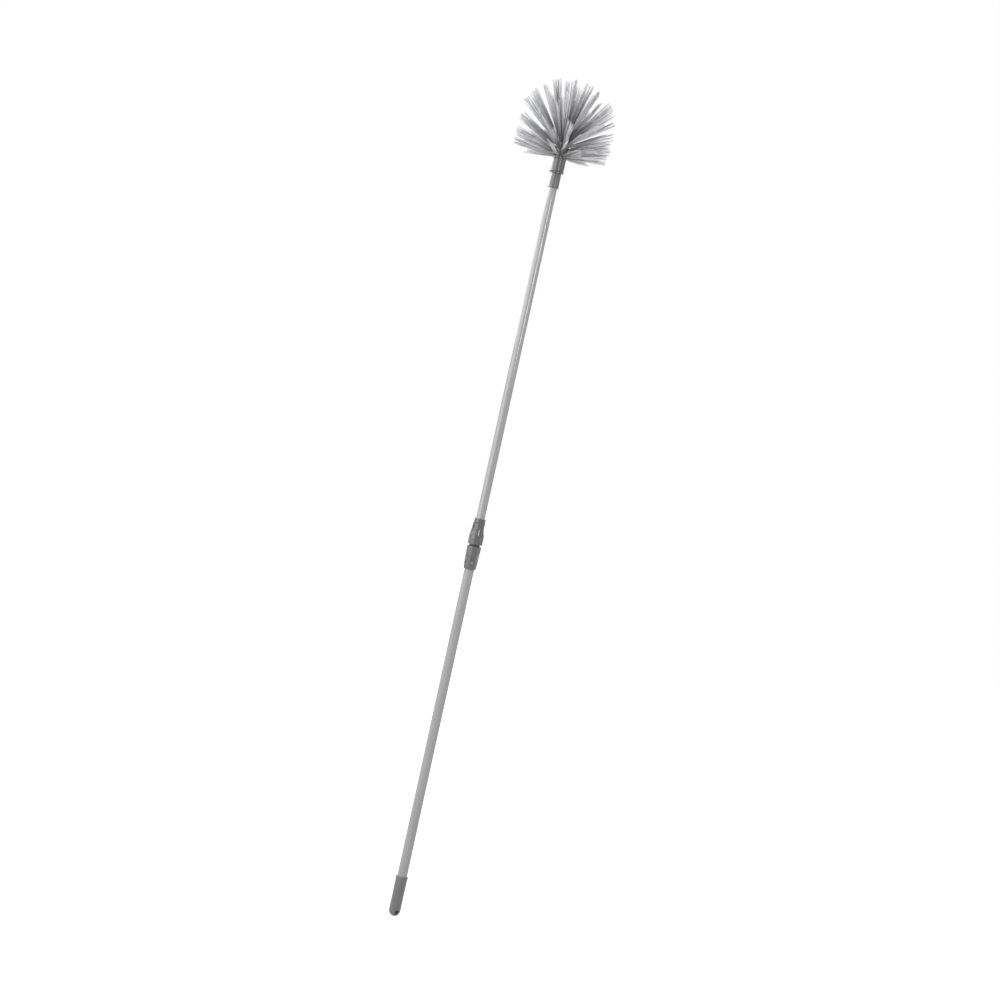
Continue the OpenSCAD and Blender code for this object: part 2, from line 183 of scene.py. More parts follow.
def moulded_plastic(name, level, rough, grain_size, grain_height, painted_thread_shade=None):
    """A grey plastic with clouded tint, mould grain and rubbed edges, and painted shade in its thread."""
    material, tree, shader = start_material(name)
    clouds = spread(tree, grain(tree, CLOUD_SIZE, 3), (0.3, 0.7), (0, 1))
    tint = blend_colour(tree, clouds, grey(level * 0.94), grey(level * 1.07))
    points = add_node(tree, "NewGeometry").outputs["Pointiness"]
    rubbed = spread(tree, points, (0.53, 0.62), (0, 0.5))
    tint = blend_colour(tree, rubbed, tint, grey(level * 1.5))
    smears = spread(tree, grain(tree, SMEAR_SIZE, 4, (1, 1, 0.3)), (0.35, 0.7), rough)
    # Painted shade: inside the thread's radius and below its top the tint darkens and the shine drops.
    if painted_thread_shade:
        share = painted_shade_share(tree, *painted_thread_shade)
        tint = blend_colour(tree, share, tint, grey(THREAD_SHADE_LEVEL))
        tree.links.new(spread(tree, share, (0, 1), (0.5, 0.1)), shader.inputs["Specular IOR Level"])
    links = {"Height": grain(tree, grain_size, 2), "Distance": grain_height, "Strength": 0.6}
    bump = add_node(tree, "Bump", links)
    tree.links.new(tint, shader.inputs["Base Color"])
    tree.links.new(smears, shader.inputs["Roughness"])
    tree.links.new(bump.outputs["Normal"], shader.inputs["Normal"])
    return material


grip_plastic = moulded_plastic(
    "grip_plastic", level=0.103, rough=(0.36, 0.5), grain_size=0.5 * MM, grain_height=0.03 * MM)
lock_plastic = moulded_plastic(
    "lock_plastic", level=0.068, rough=(0.16, 0.26), grain_size=0.7 * MM, grain_height=0.01 * MM,
    painted_thread_shade=(SHADED_THREAD_R, SHADED_THREAD_TOP))
fitting_plastic = moulded_plastic(
    "fitting_plastic", level=0.09, rough=(0.12, 0.2), grain_size=0.7 * MM, grain_height=0.01 * MM)
head_plastic = moulded_plastic(
    "head_plastic", level=0.07, rough=(0.1, 0.2), grain_size=0.7 * MM, grain_height=0.006 * MM)
collet_plastic = moulded_plastic(
    "collet_plastic", level=0.62, rough=(0.35, 0.5), grain_size=0.6 * MM, grain_height=0.01 * MM)
plug_plastic = moulded_plastic(
    "plug_plastic", level=0.05, rough=(0.3, 0.45), grain_size=0.6 * MM, grain_height=0.01 * MM)
print("plastics:", grip_plastic.name, lock_plastic.name, fitting_plastic.name, head_plastic.name)

# %% [markdown]
# ## Lacquered tube
# The two tubes are thin steel with a grey lacquer. The lacquer is smooth, with the faint waves that
# painters call orange peel. Sliding in and out draws hair-thin marks along the pole, so that noise is
# stretched a hundredfold along Z, and a few specks of dust sit in the paint.

# %% Lacquers
def lacquer(name, level, rough, marks, shine):
    """A grey lacquer with orange peel, specks and fine marks along the pole."""
    material, tree, shader = start_material(name)
    clouds = spread(tree, grain(tree, 60 * MM, 3, (1, 1, 0.4)), (0.3, 0.7), (0, 1))
    tint = blend_colour(tree, clouds, grey(level * 0.96), grey(level * 1.04))
    hairs = grain(tree, 0.35 * MM, 2, (1, 1, 0.01))
    scratched = spread(tree, hairs, (0.6, 0.75), (0, marks))
    tint = blend_colour(tree, scratched, tint, grey(level * 1.3))
    specks = spread(tree, grain(tree, 1.5 * MM, 1), (0.74, 0.78), (0, 0.5))
    tint = blend_colour(tree, specks, tint, grey(level * 0.6))
    smears = spread(tree, grain(tree, 25 * MM, 4, (1, 1, 0.2)), (0.3, 0.7), rough)
    peel = add_node(tree, "Bump", {
        "Height": grain(tree, 2.5 * MM, 1), "Distance": 0.04 * MM, "Strength": 0.35})
    drawn = add_node(tree, "Bump", {
        "Height": hairs, "Distance": 0.01 * MM, "Strength": 0.5, "Normal": peel.outputs["Normal"]})
    tree.links.new(tint, shader.inputs["Base Color"])
    tree.links.new(smears, shader.inputs["Roughness"])
    shader.inputs["Specular IOR Level"].default_value = shine
    tree.links.new(drawn.outputs["Normal"], shader.inputs["Normal"])
    return material


lower_lacquer = lacquer("lower_tube_lacquer", level=0.248, rough=(0.18, 0.28), marks=0.25, shine=0.32)
upper_lacquer = lacquer("upper_tube_lacquer", level=0.25, rough=(0.12, 0.2), marks=0.45, shine=0.5)
print("lacquers:", lower_lacquer.name, upper_lacquer.name)

# %% [markdown]
# ## Bristles
# The tufts are drawn plastic strands. No two catch the light alike, so every strand carries two
# numbers in its mesh: its own shade, and how far along it a point lies. The shade picks a tint between
# dark and pale grey. The strands are darker at their roots, a painted shade where they pack tightly,
# and get paler and duller towards the tips.

# %% Bristle material
DARK_STRAND = 0.14
PALE_STRAND = 0.82
ROOT_SHADE_LEVEL = 0.08
TIP_LEVEL = 0.85


def bristle_material():
    """Grey strands that vary in tint and shine, and pale towards the tips."""
    material, tree, shader = start_material("bristles")
    shade = add_node(tree, "Attribute", attribute_name="strand_shade").outputs["Fac"]
    along = add_node(tree, "Attribute", attribute_name="strand_along").outputs["Fac"]
    tint = blend_colour(tree, shade, grey(DARK_STRAND), grey(PALE_STRAND))
    # Painted shade: the tint darkens towards the roots, where the strands pack densely.
    root_shade = spread(tree, along, (0, 0.45), (0.55, 0))
    tint = blend_colour(tree, root_shade, tint, grey(ROOT_SHADE_LEVEL))
    pale = spread(tree, along, (0.4, 1), (0, 0.32))
    tint = blend_colour(tree, pale, tint, grey(TIP_LEVEL))
    dull = spread(tree, along, (0, 1), (0.34, 0.55))
    links = {"Height": grain(tree, 1.2 * MM, 2), "Distance": 0.05 * MM, "Strength": 0.5}
    bump = add_node(tree, "Bump", links)
    tree.links.new(tint, shader.inputs["Base Color"])
    tree.links.new(dull, shader.inputs["Roughness"])
    tree.links.new(bump.outputs["Normal"], shader.inputs["Normal"])
    return material


bristle_grey = bristle_material()
print("bristles:", bristle_grey.name)

# %% [markdown]
# ## Spinning a part from its outline
# Nearly every plastic part here was turned or moulded round an axis. As on a lathe, the outline is
# drawn once and spun. A circle primitive gives the outline its corners, which are moved to their
# places, the corners are rounded by a bevel, and the spin operator sweeps the outline round the pole.
# Long edges are halved first, so that no face is long and thin, and a hollow has points to press in.

# %% Select points and halve edges
SAME_PLACE = 1e-7


def deselect():
    """Clears the selection, because an operator acts on all that is selected."""
    bpy.ops.object.select_all(action="DESELECT")


def pick(test):
    """In edit mode, selects the vertices that pass the test, and what lies between them."""
    bpy.ops.mesh.select_all(action="DESELECT")
    mesh = bmesh.from_edit_mesh(bpy.context.object.data)
    for vertex in mesh.verts:
        vertex.select = test(vertex.co)
    mesh.select_flush(True)
    bmesh.update_edit_mesh(bpy.context.object.data)


def halve_long_edges(longest):
    """In edit mode, halves every edge until none is longer than this."""
    while True:
        bpy.ops.mesh.select_all(action="DESELECT")
        mesh = bmesh.from_edit_mesh(bpy.context.object.data)
        long_edges = [edge for edge in mesh.edges if edge.calc_length() > longest]
        if not long_edges:
            return
        for edge in long_edges:
            edge.select_set(True)
        bmesh.update_edit_mesh(bpy.context.object.data)
        bpy.ops.mesh.subdivide(number_cuts=1)


print("selection helpers ready")

# %% [markdown]
# A corner of an outline is given by its distance from the axis, its height and how far it is rounded.
# A small rounding needs few segments, and a large one, like the grip's dome, needs more.

# %% Spin an outline
LARGE_ROUNDING = 3
MERGE_DISTANCE = 1e-6


def spun(name, corners, steps=96, longest=None):
    """A closed body spun round the pole from corners of (radius, height, rounding) in millimetres."""
    deselect()
    bpy.ops.mesh.primitive_circle_add(vertices=len(corners), radius=1)
    piece = bpy.context.object
    piece.name = piece.data.name = name
    for vertex, (radius, height, rounding) in zip(piece.data.vertices, corners):
        vertex.co = (radius * MM, 0, height * MM)
    bpy.ops.object.mode_set(mode="EDIT")
    bpy.ops.mesh.select_mode(type="VERT")
    for size in sorted({corner[2] for corner in corners if corner[2]}):
        places = [Vector((r * MM, 0, z * MM)) for r, z, rounding in corners if rounding == size]
        pick(lambda co: any((co - place).length < SAME_PLACE for place in places))
        segments = 4 if size < LARGE_ROUNDING else 16
        bpy.ops.mesh.bevel(offset=size * MM, segments=segments, affect="VERTICES")
    if longest:
        halve_long_edges(longest * MM)
    bpy.ops.mesh.select_all(action="SELECT")
    bpy.ops.mesh.spin(steps=steps, angle=2 * math.pi, center=(0, 0, 0), axis=(0, 0, 1))
    bpy.ops.mesh.select_all(action="SELECT")
    bpy.ops.mesh.remove_doubles(threshold=MERGE_DISTANCE)
    bpy.ops.mesh.dissolve_degenerate(threshold=SAME_PLACE)
    bpy.ops.mesh.delete_loose()
    bpy.ops.mesh.select_all(action="SELECT")
    bpy.ops.mesh.normals_make_consistent(inside=False)
    bpy.ops.object.mode_set(mode="OBJECT")
    return piece


print("spinning helper ready")

# %% [markdown]
# Every new piece ends the same way: it is shaded smooth except over its sharp edges, gets its
# material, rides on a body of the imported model, and hides the node it stands for. A hole is cut with
# a second closed piece.

# %% Finish, cut and join pieces
SHARP_EDGE = math.radians(35)


def finish_piece(piece, material, body, slot, *nodes):
    """Gives a piece its smooth shading, material and body, and hides the nodes it stands for; slot is not
    used.
    """
    deselect()
    piece.select_set(True)
    bpy.context.view_layer.objects.active = piece
    bpy.ops.object.shade_smooth_by_angle(angle=SHARP_EDGE)
    piece.data.materials.clear()
    piece.data.materials.append(material)
    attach(piece, body)
    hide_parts(*nodes)
    low = Vector(map(min, zip(*(vertex.co for vertex in piece.data.vertices))))
    high = Vector(map(max, zip(*(vertex.co for vertex in piece.data.vertices))))
    size = " x ".join(f"{span / MM:.1f}" for span in high - low)
    print(f"{piece.name}: {len(piece.data.polygons)} faces, {size} mm, rides on {body}")


def cut(piece, cutter):
    """Cuts one closed piece out of another, and removes the cutter."""
    deselect()
    bpy.context.view_layer.objects.active = piece
    piece.select_set(True)
    modifier = piece.modifiers.new("cut", "BOOLEAN")
    modifier.operation = "DIFFERENCE"
    modifier.solver = "EXACT"
    modifier.object = cutter
    bpy.ops.object.modifier_apply(modifier=modifier.name)
    bpy.data.objects.remove(cutter)


def join(piece, *others):
    """Joins other pieces into this one."""
    deselect()
    for other in (piece, *others):
        other.select_set(True)
    bpy.context.view_layer.objects.active = piece
    bpy.ops.object.join()


print("piece helpers ready")

# %% [markdown]
# ## The hand grip
# The grip is a moulded sleeve, closed by a dome at its foot and opened a little at its mouth, where a
# rounded lip stops the hand. A hole through the dome takes a hook. It is cut by a spool whose ends
# flare, so the rim of the hole comes out softly rounded, as a moulded hole is.

# %% Spin the grip and cut its hanging hole
_, grip_high = (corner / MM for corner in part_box("grip"))
GRIP_R = 12.8
GRIP_STRAIGHT_TOP = 52
LIP_R = 13.5
LIP_FOOT = grip_high.z - 4
LOWER_TUBE_R = 11.0
TUBE_SEAT = 25.0
GLUE_GAP = 0.05
HAIR = 0.01
HANG_Z = 10.3
HANG_R = 4.0
FLARE_R = 6.4
FLARE_FROM = 11.2
SPOOL_END = 14

grip_piece = spun("hand_grip", [
    (0, 0, 0), (GRIP_R, 0, GRIP_R - HAIR), (GRIP_R, GRIP_STRAIGHT_TOP, 0), (13.1, LIP_FOOT - 0.4, 0.3),
    (LIP_R, LIP_FOOT, 0.3), (LIP_R, grip_high.z, 0.8), (LOWER_TUBE_R + GLUE_GAP, grip_high.z, 0.3),
    (LOWER_TUBE_R + GLUE_GAP, TUBE_SEAT, 0), (0, TUBE_SEAT, 0)], longest=4)
spool = spun("spool", [
    (0, -SPOOL_END, 0), (FLARE_R, -SPOOL_END, 0), (HANG_R, -FLARE_FROM, 3.1),
    (HANG_R, FLARE_FROM, 3.1), (FLARE_R, SPOOL_END, 0), (0, SPOOL_END, 0)], steps=48)
spool.data.transform(Matrix.Translation((0, 0, HANG_Z * MM)) @ Matrix.Rotation(math.pi / 2, 4, "X"))
cut(grip_piece, spool)
finish_piece(grip_piece, grip_plastic, "handle", "grip_plastic", "grip")

# %% [markdown]
# ## The tubes
# Both tubes are drawn steel with a wall of 0.6 mm. They are spun like the rest, with softly rounded
# ends, and enough steps round them for a clean highlight.

# %% Spin the tubes
UPPER_TUBE_R = 9.5
TUBE_WALL = 0.6
END_ROUNDING = 0.2


def tube_piece(name, node, outer_r, material, body, slot):
    """A thin tube along the pole, as long as its node."""
    low, high = (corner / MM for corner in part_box(node))
    inner_r = outer_r - TUBE_WALL
    ends = [(outer_r, low.z), (outer_r, high.z), (inner_r, high.z), (inner_r, low.z)]
    piece = spun(name, [(*end, END_ROUNDING) for end in ends], steps=128, longest=60)
    finish_piece(piece, material, body, slot, node)


tube_piece("lower_tube", "outer_tube", LOWER_TUBE_R, lower_lacquer, "handle", "lower_tube_lacquer")
tube_piece("upper_tube", "inner_tube", UPPER_TUBE_R, upper_lacquer, "upper_pole", "upper_tube_lacquer")

# %% [markdown]
# ## Pressing hollows into a spun part
# The lock body has six shallow finger flutes and the nut has three arched scoops. Cutting them would
# leave hard edges that a mould never has. Instead the spun surface is made dense, and each of its
# points is moved inwards, as clay gives under a thumb, with a soft rim to the hollow.

# %% Press hollows
def soft_step(value, width):
    """Rises smoothly from 0 to 1 as the value goes from -width to width."""
    share = min(max((value / width + 1) / 2, 0), 1)
    return share * share * (3 - 2 * share)


def press(piece, hollow, outside):
    """Moves the points beyond the radius outside inwards, to the radius that hollow gives them."""
    moved = 0
    for vertex in piece.data.vertices:
        radius = math.hypot(vertex.co.x, vertex.co.y) / MM
        if radius < outside:
            continue
        angle = math.degrees(math.atan2(vertex.co.y, vertex.co.x))
        pressed = hollow(radius, angle, vertex.co.z / MM)
        if pressed < radius:
            vertex.co.x *= pressed / radius
            vertex.co.y *= pressed / radius
            moved += 1
    print(f"{piece.name}: {moved} points pressed in")


def from_nearest(angle, first, count):
    """The angle to the nearest of so many places round the pole, in radians."""
    pitch = 360 / count
    return math.radians((angle - first + pitch / 2) % pitch - pitch / 2)


print("pressing helpers ready")

# %% [markdown]
# ## A screw thread
# The nut and the head screw onto coarse moulded threads. A thread is a ridge that climbs as it goes
# round: a small four-cornered outline, swept by the Screw modifier, with both ends closed and faded
# into the shaft so that the nut finds its way on.

# %% Wind a thread
THREAD_STEPS = 64
ROOT_HALF = 0.42
CREST_HALF = 0.14
FADE_TURNS = 0.3


def thread(name, root_r, crest_r, pitch, low, high):
    """A thread ridge between two heights, in millimetres, faded out at both ends."""
    deselect()
    bpy.ops.mesh.primitive_circle_add(vertices=4, radius=1)
    ridge = bpy.context.object
    ridge.name = ridge.data.name = name
    outline = [(root_r, -ROOT_HALF), (crest_r, -CREST_HALF), (crest_r, CREST_HALF), (root_r, ROOT_HALF)]
    for vertex, (radius, share) in zip(ridge.data.vertices, outline):
        vertex.co = (radius * MM, 0, (low + pitch / 2 + share * pitch) * MM)
    turns = int((high - low) / pitch) - 1
    screw = ridge.modifiers.new("screw", "SCREW")
    screw.screw_offset = pitch * MM
    screw.iterations = turns
    screw.steps = screw.render_steps = THREAD_STEPS
    bpy.ops.object.modifier_apply(modifier=screw.name)
    bpy.ops.object.mode_set(mode="EDIT")
    bpy.ops.mesh.select_all(action="SELECT")
    bpy.ops.mesh.fill_holes(sides=4)
    bpy.ops.mesh.normals_make_consistent(inside=False)
    bpy.ops.object.mode_set(mode="OBJECT")
    first, last = low + pitch / 2, low + pitch / 2 + turns * pitch
    for vertex in ridge.data.vertices:
        angle = math.atan2(vertex.co.y, vertex.co.x) / (2 * math.pi)
        rise = (vertex.co.z / MM - first) / pitch
        wound = min(max(round(rise - angle) + angle, 0), turns)
        fade = min(wound, turns - wound, FADE_TURNS) / FADE_TURNS
        radius = math.hypot(vertex.co.x, vertex.co.y) / MM
        faded = root_r + (radius - root_r) * fade
        vertex.co.x *= faded / radius
        vertex.co.y *= faded / radius
    print(f"{name}: {turns} turns from {first:.1f} to {last:.1f} mm")
    return ridge


print("thread helper ready")

# %% [markdown]
# ## The lock body
# The lock body is glued over the lower tube. It widens gently upwards, has soft edges and six oval
# flutes for the fingers, and carries the threaded neck that the nut turns on. Four millimetres of
# that thread show between body and nut.

# %% Spin the lock body, press its flutes and wind its thread
body_low, body_high = (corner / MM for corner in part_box("lock_body"))
BODY_LEN = 50.7
BODY_FOOT_R = 13.4
BODY_FLARE = 2
BODY_SKIN_R = 12.6
TUBE_HOLE_R = 11.05
BODY_BORE_R = 9.9
TUBE_STOP_Z = 812.2
NECK_R = 11.5
SEAT_MOUTH_R = 10.9
SEAT_DEPTH = 5
FLUTES = 6
FIRST_FLUTE = -105
FLUTE_MID = 24.0
FLUTE_HALF_WIDTH = 5.3
FLUTE_HALF_LEN = 12.6
FLUTE_DEPTH = 1.5
body_top = body_low.z + BODY_LEN


def body_r(height):
    """Radius of the lock body at a height above its foot."""
    return BODY_FOOT_R + BODY_FLARE * (max(height, 0) / BODY_LEN) ** 0.6


def flute_floor(radius, angle, z):
    """Radius of the lock body after its oval flutes are pressed in."""
    across = radius * math.sin(from_nearest(angle, FIRST_FLUTE, FLUTES)) / FLUTE_HALF_WIDTH
    along = (z - body_low.z - FLUTE_MID) / FLUTE_HALF_LEN
    return radius - FLUTE_DEPTH * max(1 - across ** 2 - along ** 2, 0) ** 1.3


side = [(body_r(height), body_low.z + height, 0) for height in range(6, 48, 3)]
lock_body_piece = spun("lock_sleeve", [
    (TUBE_HOLE_R, body_low.z, 0.3), (body_r(0), body_low.z, 0.6), *side,
    (body_r(BODY_LEN), body_top, 1.2), (NECK_R, body_top, 0.3), (NECK_R, body_high.z, 0.4),
    (SEAT_MOUTH_R, body_high.z, 0.2), (BODY_BORE_R, body_high.z - SEAT_DEPTH, 0),
    (BODY_BORE_R, TUBE_STOP_Z, 0), (TUBE_HOLE_R, TUBE_STOP_Z, 0)], steps=160, longest=0.8)
press(lock_body_piece, flute_floor, BODY_SKIN_R)
neck_thread = thread(
    "neck_thread", root_r=11.3, crest_r=12.15, pitch=3, low=body_top + 0.2, high=body_high.z - 1)
join(lock_body_piece, neck_thread)
finish_piece(lock_body_piece, lock_plastic, "handle", "lock_plastic", "lock_body")

# %% [markdown]
# ## The lock nut
# The nut squeezes the collet onto the upper tube. Its skirt is round with two grip grooves. Above it
# the nut narrows between three arched scoops for the fingertips, and ends in a round collar. A scoop
# starts flush with the skirt, gets deeper as it rises, and closes in a half circle.

# %% Spin the nut and press its scoops
nut_low, nut_high = (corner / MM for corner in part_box("lock_nut"))
NUT_R = 16.0
NUT_THREAD_R = 12.3
NUT_NECK_R = 13.8
NUT_NECK_RISE = 14
NUT_BORE_R = 9.85
CONE_FOOT_Z = 850
CONE_TOP_Z = 862.4
COLLAR_R = 12.0
COLLAR_Z = nut_high.z - 8.5
SKIRT_TOP = nut_low.z + 19.4
GROOVE_STEP = 5
GROOVE_DEPTH = 0.45
NUT_SKIN_R = 11.7
SCOOPS = 3
FIRST_SCOOP = 94
SCOOP_FOOT_R = NUT_R - 0.4
SCOOP_R = 11.6
SCOOP_RISE = 16
FOOT_HALF_WIDTH = 7
ARCH_R = 5.5
SCOOP_RIM = 0.55


def scoop_floor(radius, angle, z):
    """Radius of the nut after its arched finger scoops are pressed in."""
    foot, top = SKIRT_TOP + 0.5, COLLAR_Z - 0.5
    side_place = abs(radius * math.sin(from_nearest(angle, FIRST_SCOOP, SCOOPS)))
    narrowing = min(max((z - foot) / (top - foot - ARCH_R), 0), 1)
    half_width = FOOT_HALF_WIDTH - (FOOT_HALF_WIDTH - ARCH_R) * narrowing
    arch_z = top - ARCH_R
    if z > arch_z:
        inside = ARCH_R - math.hypot(side_place, z - arch_z)
    else:
        inside = min(half_width - side_place, z - foot)
    fall = min(max((z - foot) / SCOOP_RISE, 0), 1)
    floor = SCOOP_FOOT_R - (SCOOP_FOOT_R - SCOOP_R) * fall
    return radius + (min(floor, radius) - radius) * soft_step(inside, SCOOP_RIM)


grooves = [(NUT_R - (GROOVE_DEPTH if step == 0 else 0), nut_low.z + GROOVE_STEP * number + 0.5 * step, 0.15)
           for number in (1, 2) for step in (-1, 0, 1)]
nut_piece = spun("twist_nut", [
    (NUT_THREAD_R, nut_low.z, 0.4), (NUT_R, nut_low.z, 0.7), *grooves, (NUT_R, SKIRT_TOP, 1.2),
    (NUT_NECK_R, SKIRT_TOP + NUT_NECK_RISE, 2.5), (13.1, COLLAR_Z, 0.5), (COLLAR_R, COLLAR_Z, 0.4),
    (COLLAR_R, nut_high.z, 0.5), (NUT_BORE_R, nut_high.z, 0.3), (NUT_BORE_R, CONE_TOP_Z, 0),
    (NUT_THREAD_R, CONE_FOOT_Z, 0)], steps=192, longest=0.5)
press(nut_piece, scoop_floor, NUT_SKIN_R)
finish_piece(nut_piece, lock_plastic, "nut", "lock_plastic", "lock_nut")

# %% [markdown]
# ## The sleeve at the top of the pole
# A tapered plastic sleeve closes the upper tube and carries the screw stud of the head. Its foot has
# a thin bead. The stud is hidden until the head comes off, and then shows its coarse thread.

# %% Spin the sleeve and its stud
tip_low, tip_high = (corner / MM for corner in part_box("tip_fitting"))
TIP_BORE_R = 9.55
TIP_BORE_TOP = tip_low.z + 26.7
TIP_FOOT_R = 12.1
BEAD_R = 12.4
TIP_TOP_R = 11.5
TIP_TOP = tip_high.z - 26
STUD_R = 9.6
tip_piece = spun("stud_sleeve", [
    (0, TIP_BORE_TOP, 0), (TIP_BORE_R, TIP_BORE_TOP, 0), (TIP_BORE_R, tip_low.z, 0.2),
    (TIP_FOOT_R, tip_low.z, 0.2), (BEAD_R, tip_low.z + 0.3, 0.15), (BEAD_R, tip_low.z + 1.2, 0.15),
    (TIP_FOOT_R, tip_low.z + 1.6, 0.2), (TIP_TOP_R, TIP_TOP, 0.5), (STUD_R, TIP_TOP, 0.3),
    (STUD_R, tip_high.z, 1), (0, tip_high.z, 0)], longest=3)
stud_thread = thread(
    "stud_thread", root_r=9.4, crest_r=10.5, pitch=4, low=TIP_TOP + 0.5, high=tip_high.z - 1)
join(tip_piece, stud_thread)
finish_piece(tip_piece, fitting_plastic, "upper_pole", "fitting_plastic", "tip_fitting")

# %% [markdown]
# ## The head's socket
# The socket screws over the stud and carries the tufted core. It is a plain round moulding with a
# rolled rim at its foot, and a post at its top that goes into the core.

# %% Spin the socket
head_low, head_high = (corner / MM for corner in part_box("head_block"))
CORE_Z = 1673.4
RIM_R = 16.35
SOCKET_R = 15.25
SOCKET_BORE_R = 10.8
SOCKET_BORE_TOP = head_low.z + 27
POST_R = 9
socket_piece = spun("socket", [
    (SOCKET_BORE_R, head_low.z, 0.4), (RIM_R, head_low.z, 0.6), (RIM_R, head_low.z + 2.6, 0.8),
    (SOCKET_R, head_low.z + 3.0, 0.4), (SOCKET_R, CORE_Z, 0.6), (POST_R, CORE_Z, 0),
    (POST_R, head_high.z, 0), (0, head_high.z, 0), (0, SOCKET_BORE_TOP, 0),
    (SOCKET_BORE_R, SOCKET_BORE_TOP, 0)], longest=3)
finish_piece(socket_piece, head_plastic, "head", "head_plastic", "head_block")

# %% [markdown]
# ## Where the tufts stand
# Sixty tufts stand in seven rings and a crown on the core, which ends in a dome. The lowest ring
# leans just above the level, and each ring above leans further up, with every other tuft a little
# higher than the next. A strand is as long as the space to the brush's outline: a cylinder round the
# pole at the sides, and a dome over the top.

# %% Work out the places of the tufts
CORE_R = 15.2
DOME_Z = CORE_Z + 39.4
BRUSH_R = 105.0
DOME_R = 117.0
ROWS = 7
FIRST_ROW = 4.6
ROW_STEP = 8
TUFT_SPACING = 10.6
FIRST_TUFT = -12
LOWEST_LEAN = 6
HIGHEST_LEAN = 70
LEAN_SWAY = 3
MOST_FAN_TURN = 75
ALMOST_UPRIGHT = 0.01


def core_point(distance):
    """Radius and height of a place on the core, at a distance along its outline from the socket."""
    if distance < DOME_Z - CORE_Z:
        return CORE_R, CORE_Z + distance
    turn = (distance - (DOME_Z - CORE_Z)) / CORE_R
    return CORE_R * math.cos(turn), DOME_Z + CORE_R * math.sin(turn)


def reach(root, way):
    """Length of a strand from its root to the outline of the brush."""
    from_centre = root - Vector((0, 0, DOME_Z + CORE_R))
    ahead = from_centre.dot(way)
    to_dome = -ahead + math.sqrt(ahead ** 2 - from_centre.length_squared + DOME_R ** 2)
    level = math.hypot(way.x, way.y)
    if level < ALMOST_UPRIGHT:
        return to_dome
    out = root.x * way.x + root.y * way.y
    room = BRUSH_R ** 2 - root.x ** 2 - root.y ** 2
    return min(to_dome, (math.sqrt(out ** 2 + level ** 2 * room) - out) / level ** 2)


def tuft_places(row):
    """The root, direction and fan turn of each tuft of a row, in millimetres and degrees."""
    radius, height = core_point(FIRST_ROW + ROW_STEP * row)
    count = round(2 * math.pi * radius / TUFT_SPACING)
    row_lean = LOWEST_LEAN + (HIGHEST_LEAN - LOWEST_LEAN) * (row / (ROWS - 1)) ** 1.7
    for number in range(count):
        lean = math.radians(row_lean + (LEAN_SWAY if number % 2 == 0 else -LEAN_SWAY))
        angle = math.radians(FIRST_TUFT) + 2 * math.pi * (number + row / 2) / count
        around = Vector((math.cos(angle), math.sin(angle), 0))
        root = around * radius + Vector((0, 0, height))
        way = around * math.cos(lean) + Vector((0, 0, math.sin(lean)))
        yield root, way, MOST_FAN_TURN * math.sin(math.radians(100 * (number + 3 * row)))


print("tufts:", [len(list(tuft_places(row))) for row in range(ROWS)], "and one on top")

# %% [markdown]
# ## The core
# The core is one moulding, drilled with a hole for every tuft. It is spun, and the holes are cut by
# one tool that joins sixty short pegs, each standing where its tuft goes.

# %% Spin the core and drill it
CORE_GAP = 0.05
PEG_ROOT_R = 1.9
PEG_MOUTH_R = 2.9
PEG_LEN = 5
PEG_SUNK = 0.9
CROWN_FAN_TURN = 30

core_piece = spun("tuft_core", [
    (0, CORE_Z + CORE_GAP, 0), (CORE_R, CORE_Z + CORE_GAP, 0.4), (CORE_R, DOME_Z + CORE_R, CORE_R - HAIR),
    (0, DOME_Z + CORE_R, 0)], longest=2)
all_places = [place for row in range(ROWS) for place in tuft_places(row)]
all_places.append((Vector((0, 0, DOME_Z + CORE_R)), Vector((0, 0, 1)), CROWN_FAN_TURN))
pegs = []
for root, way, turn in all_places:
    deselect()
    bpy.ops.mesh.primitive_cone_add(
        vertices=16, radius1=PEG_ROOT_R * MM, radius2=PEG_MOUTH_R * MM, depth=PEG_LEN * MM)
    peg = bpy.context.object
    outward = Vector((root.x, root.y, max(root.z - DOME_Z, 0))).normalized()
    middle = (root - outward * PEG_SUNK) * MM
    peg.data.transform(Matrix.Translation(middle) @ outward.to_track_quat("Z", "Y").to_matrix().to_4x4())
    peg.location = (0, 0, 0)
    pegs.append(peg)
join(pegs[0], *pegs[1:])
cut(core_piece, pegs[0])
finish_piece(core_piece, head_plastic, "head", "head_plastic",
             *[f"tuft_row_{row + 1}" for row in range(ROWS)], "tuft_crown")

# %% [markdown]
# ## One strand
# A strand is a thin cone with three sides, cut into four along its length so that it can bend. It is
# a unit long, and gets its real length when it is copied. Fourteen faces are enough, because the
# brush has thousands of strands.

# %% Model one strand
CUTS = 4
TIP_SHARE = 0.6
deselect()
bpy.ops.mesh.primitive_cone_add(
    vertices=3, radius1=1, radius2=TIP_SHARE, depth=1, location=(0, 0, 0.5))
strand_object = bpy.context.object
bpy.ops.object.transform_apply(location=True, rotation=True, scale=True)
bpy.ops.object.mode_set(mode="EDIT")
for cut_number in range(1, CUTS):
    bpy.ops.mesh.select_all(action="SELECT")
    bpy.ops.mesh.bisect(plane_co=(0, 0, cut_number / CUTS), plane_no=(0, 0, 1))
bpy.ops.object.mode_set(mode="OBJECT")
strand_mesh = strand_object.data.copy()
bpy.data.objects.remove(strand_object)
print("one strand:", len(strand_mesh.polygons), "faces")

# %% [markdown]
# ## Copying a strand
# A copied strand is placed between its foot and its tip. On the way it bends, most in its middle, and
# its points get the two numbers that the bristle material reads.

# %% Place and add a strand
def strand_matrix(foot, tip, thickness, spin):
    """Places the unit strand between two points, turned about itself."""
    way = tip - foot
    turn = way.to_track_quat("Z", "Y").to_matrix().to_4x4() @ Matrix.Rotation(spin, 4, "Z")
    return Matrix.Translation(foot) @ turn @ Matrix.Diagonal((thickness, thickness, way.length, 1))


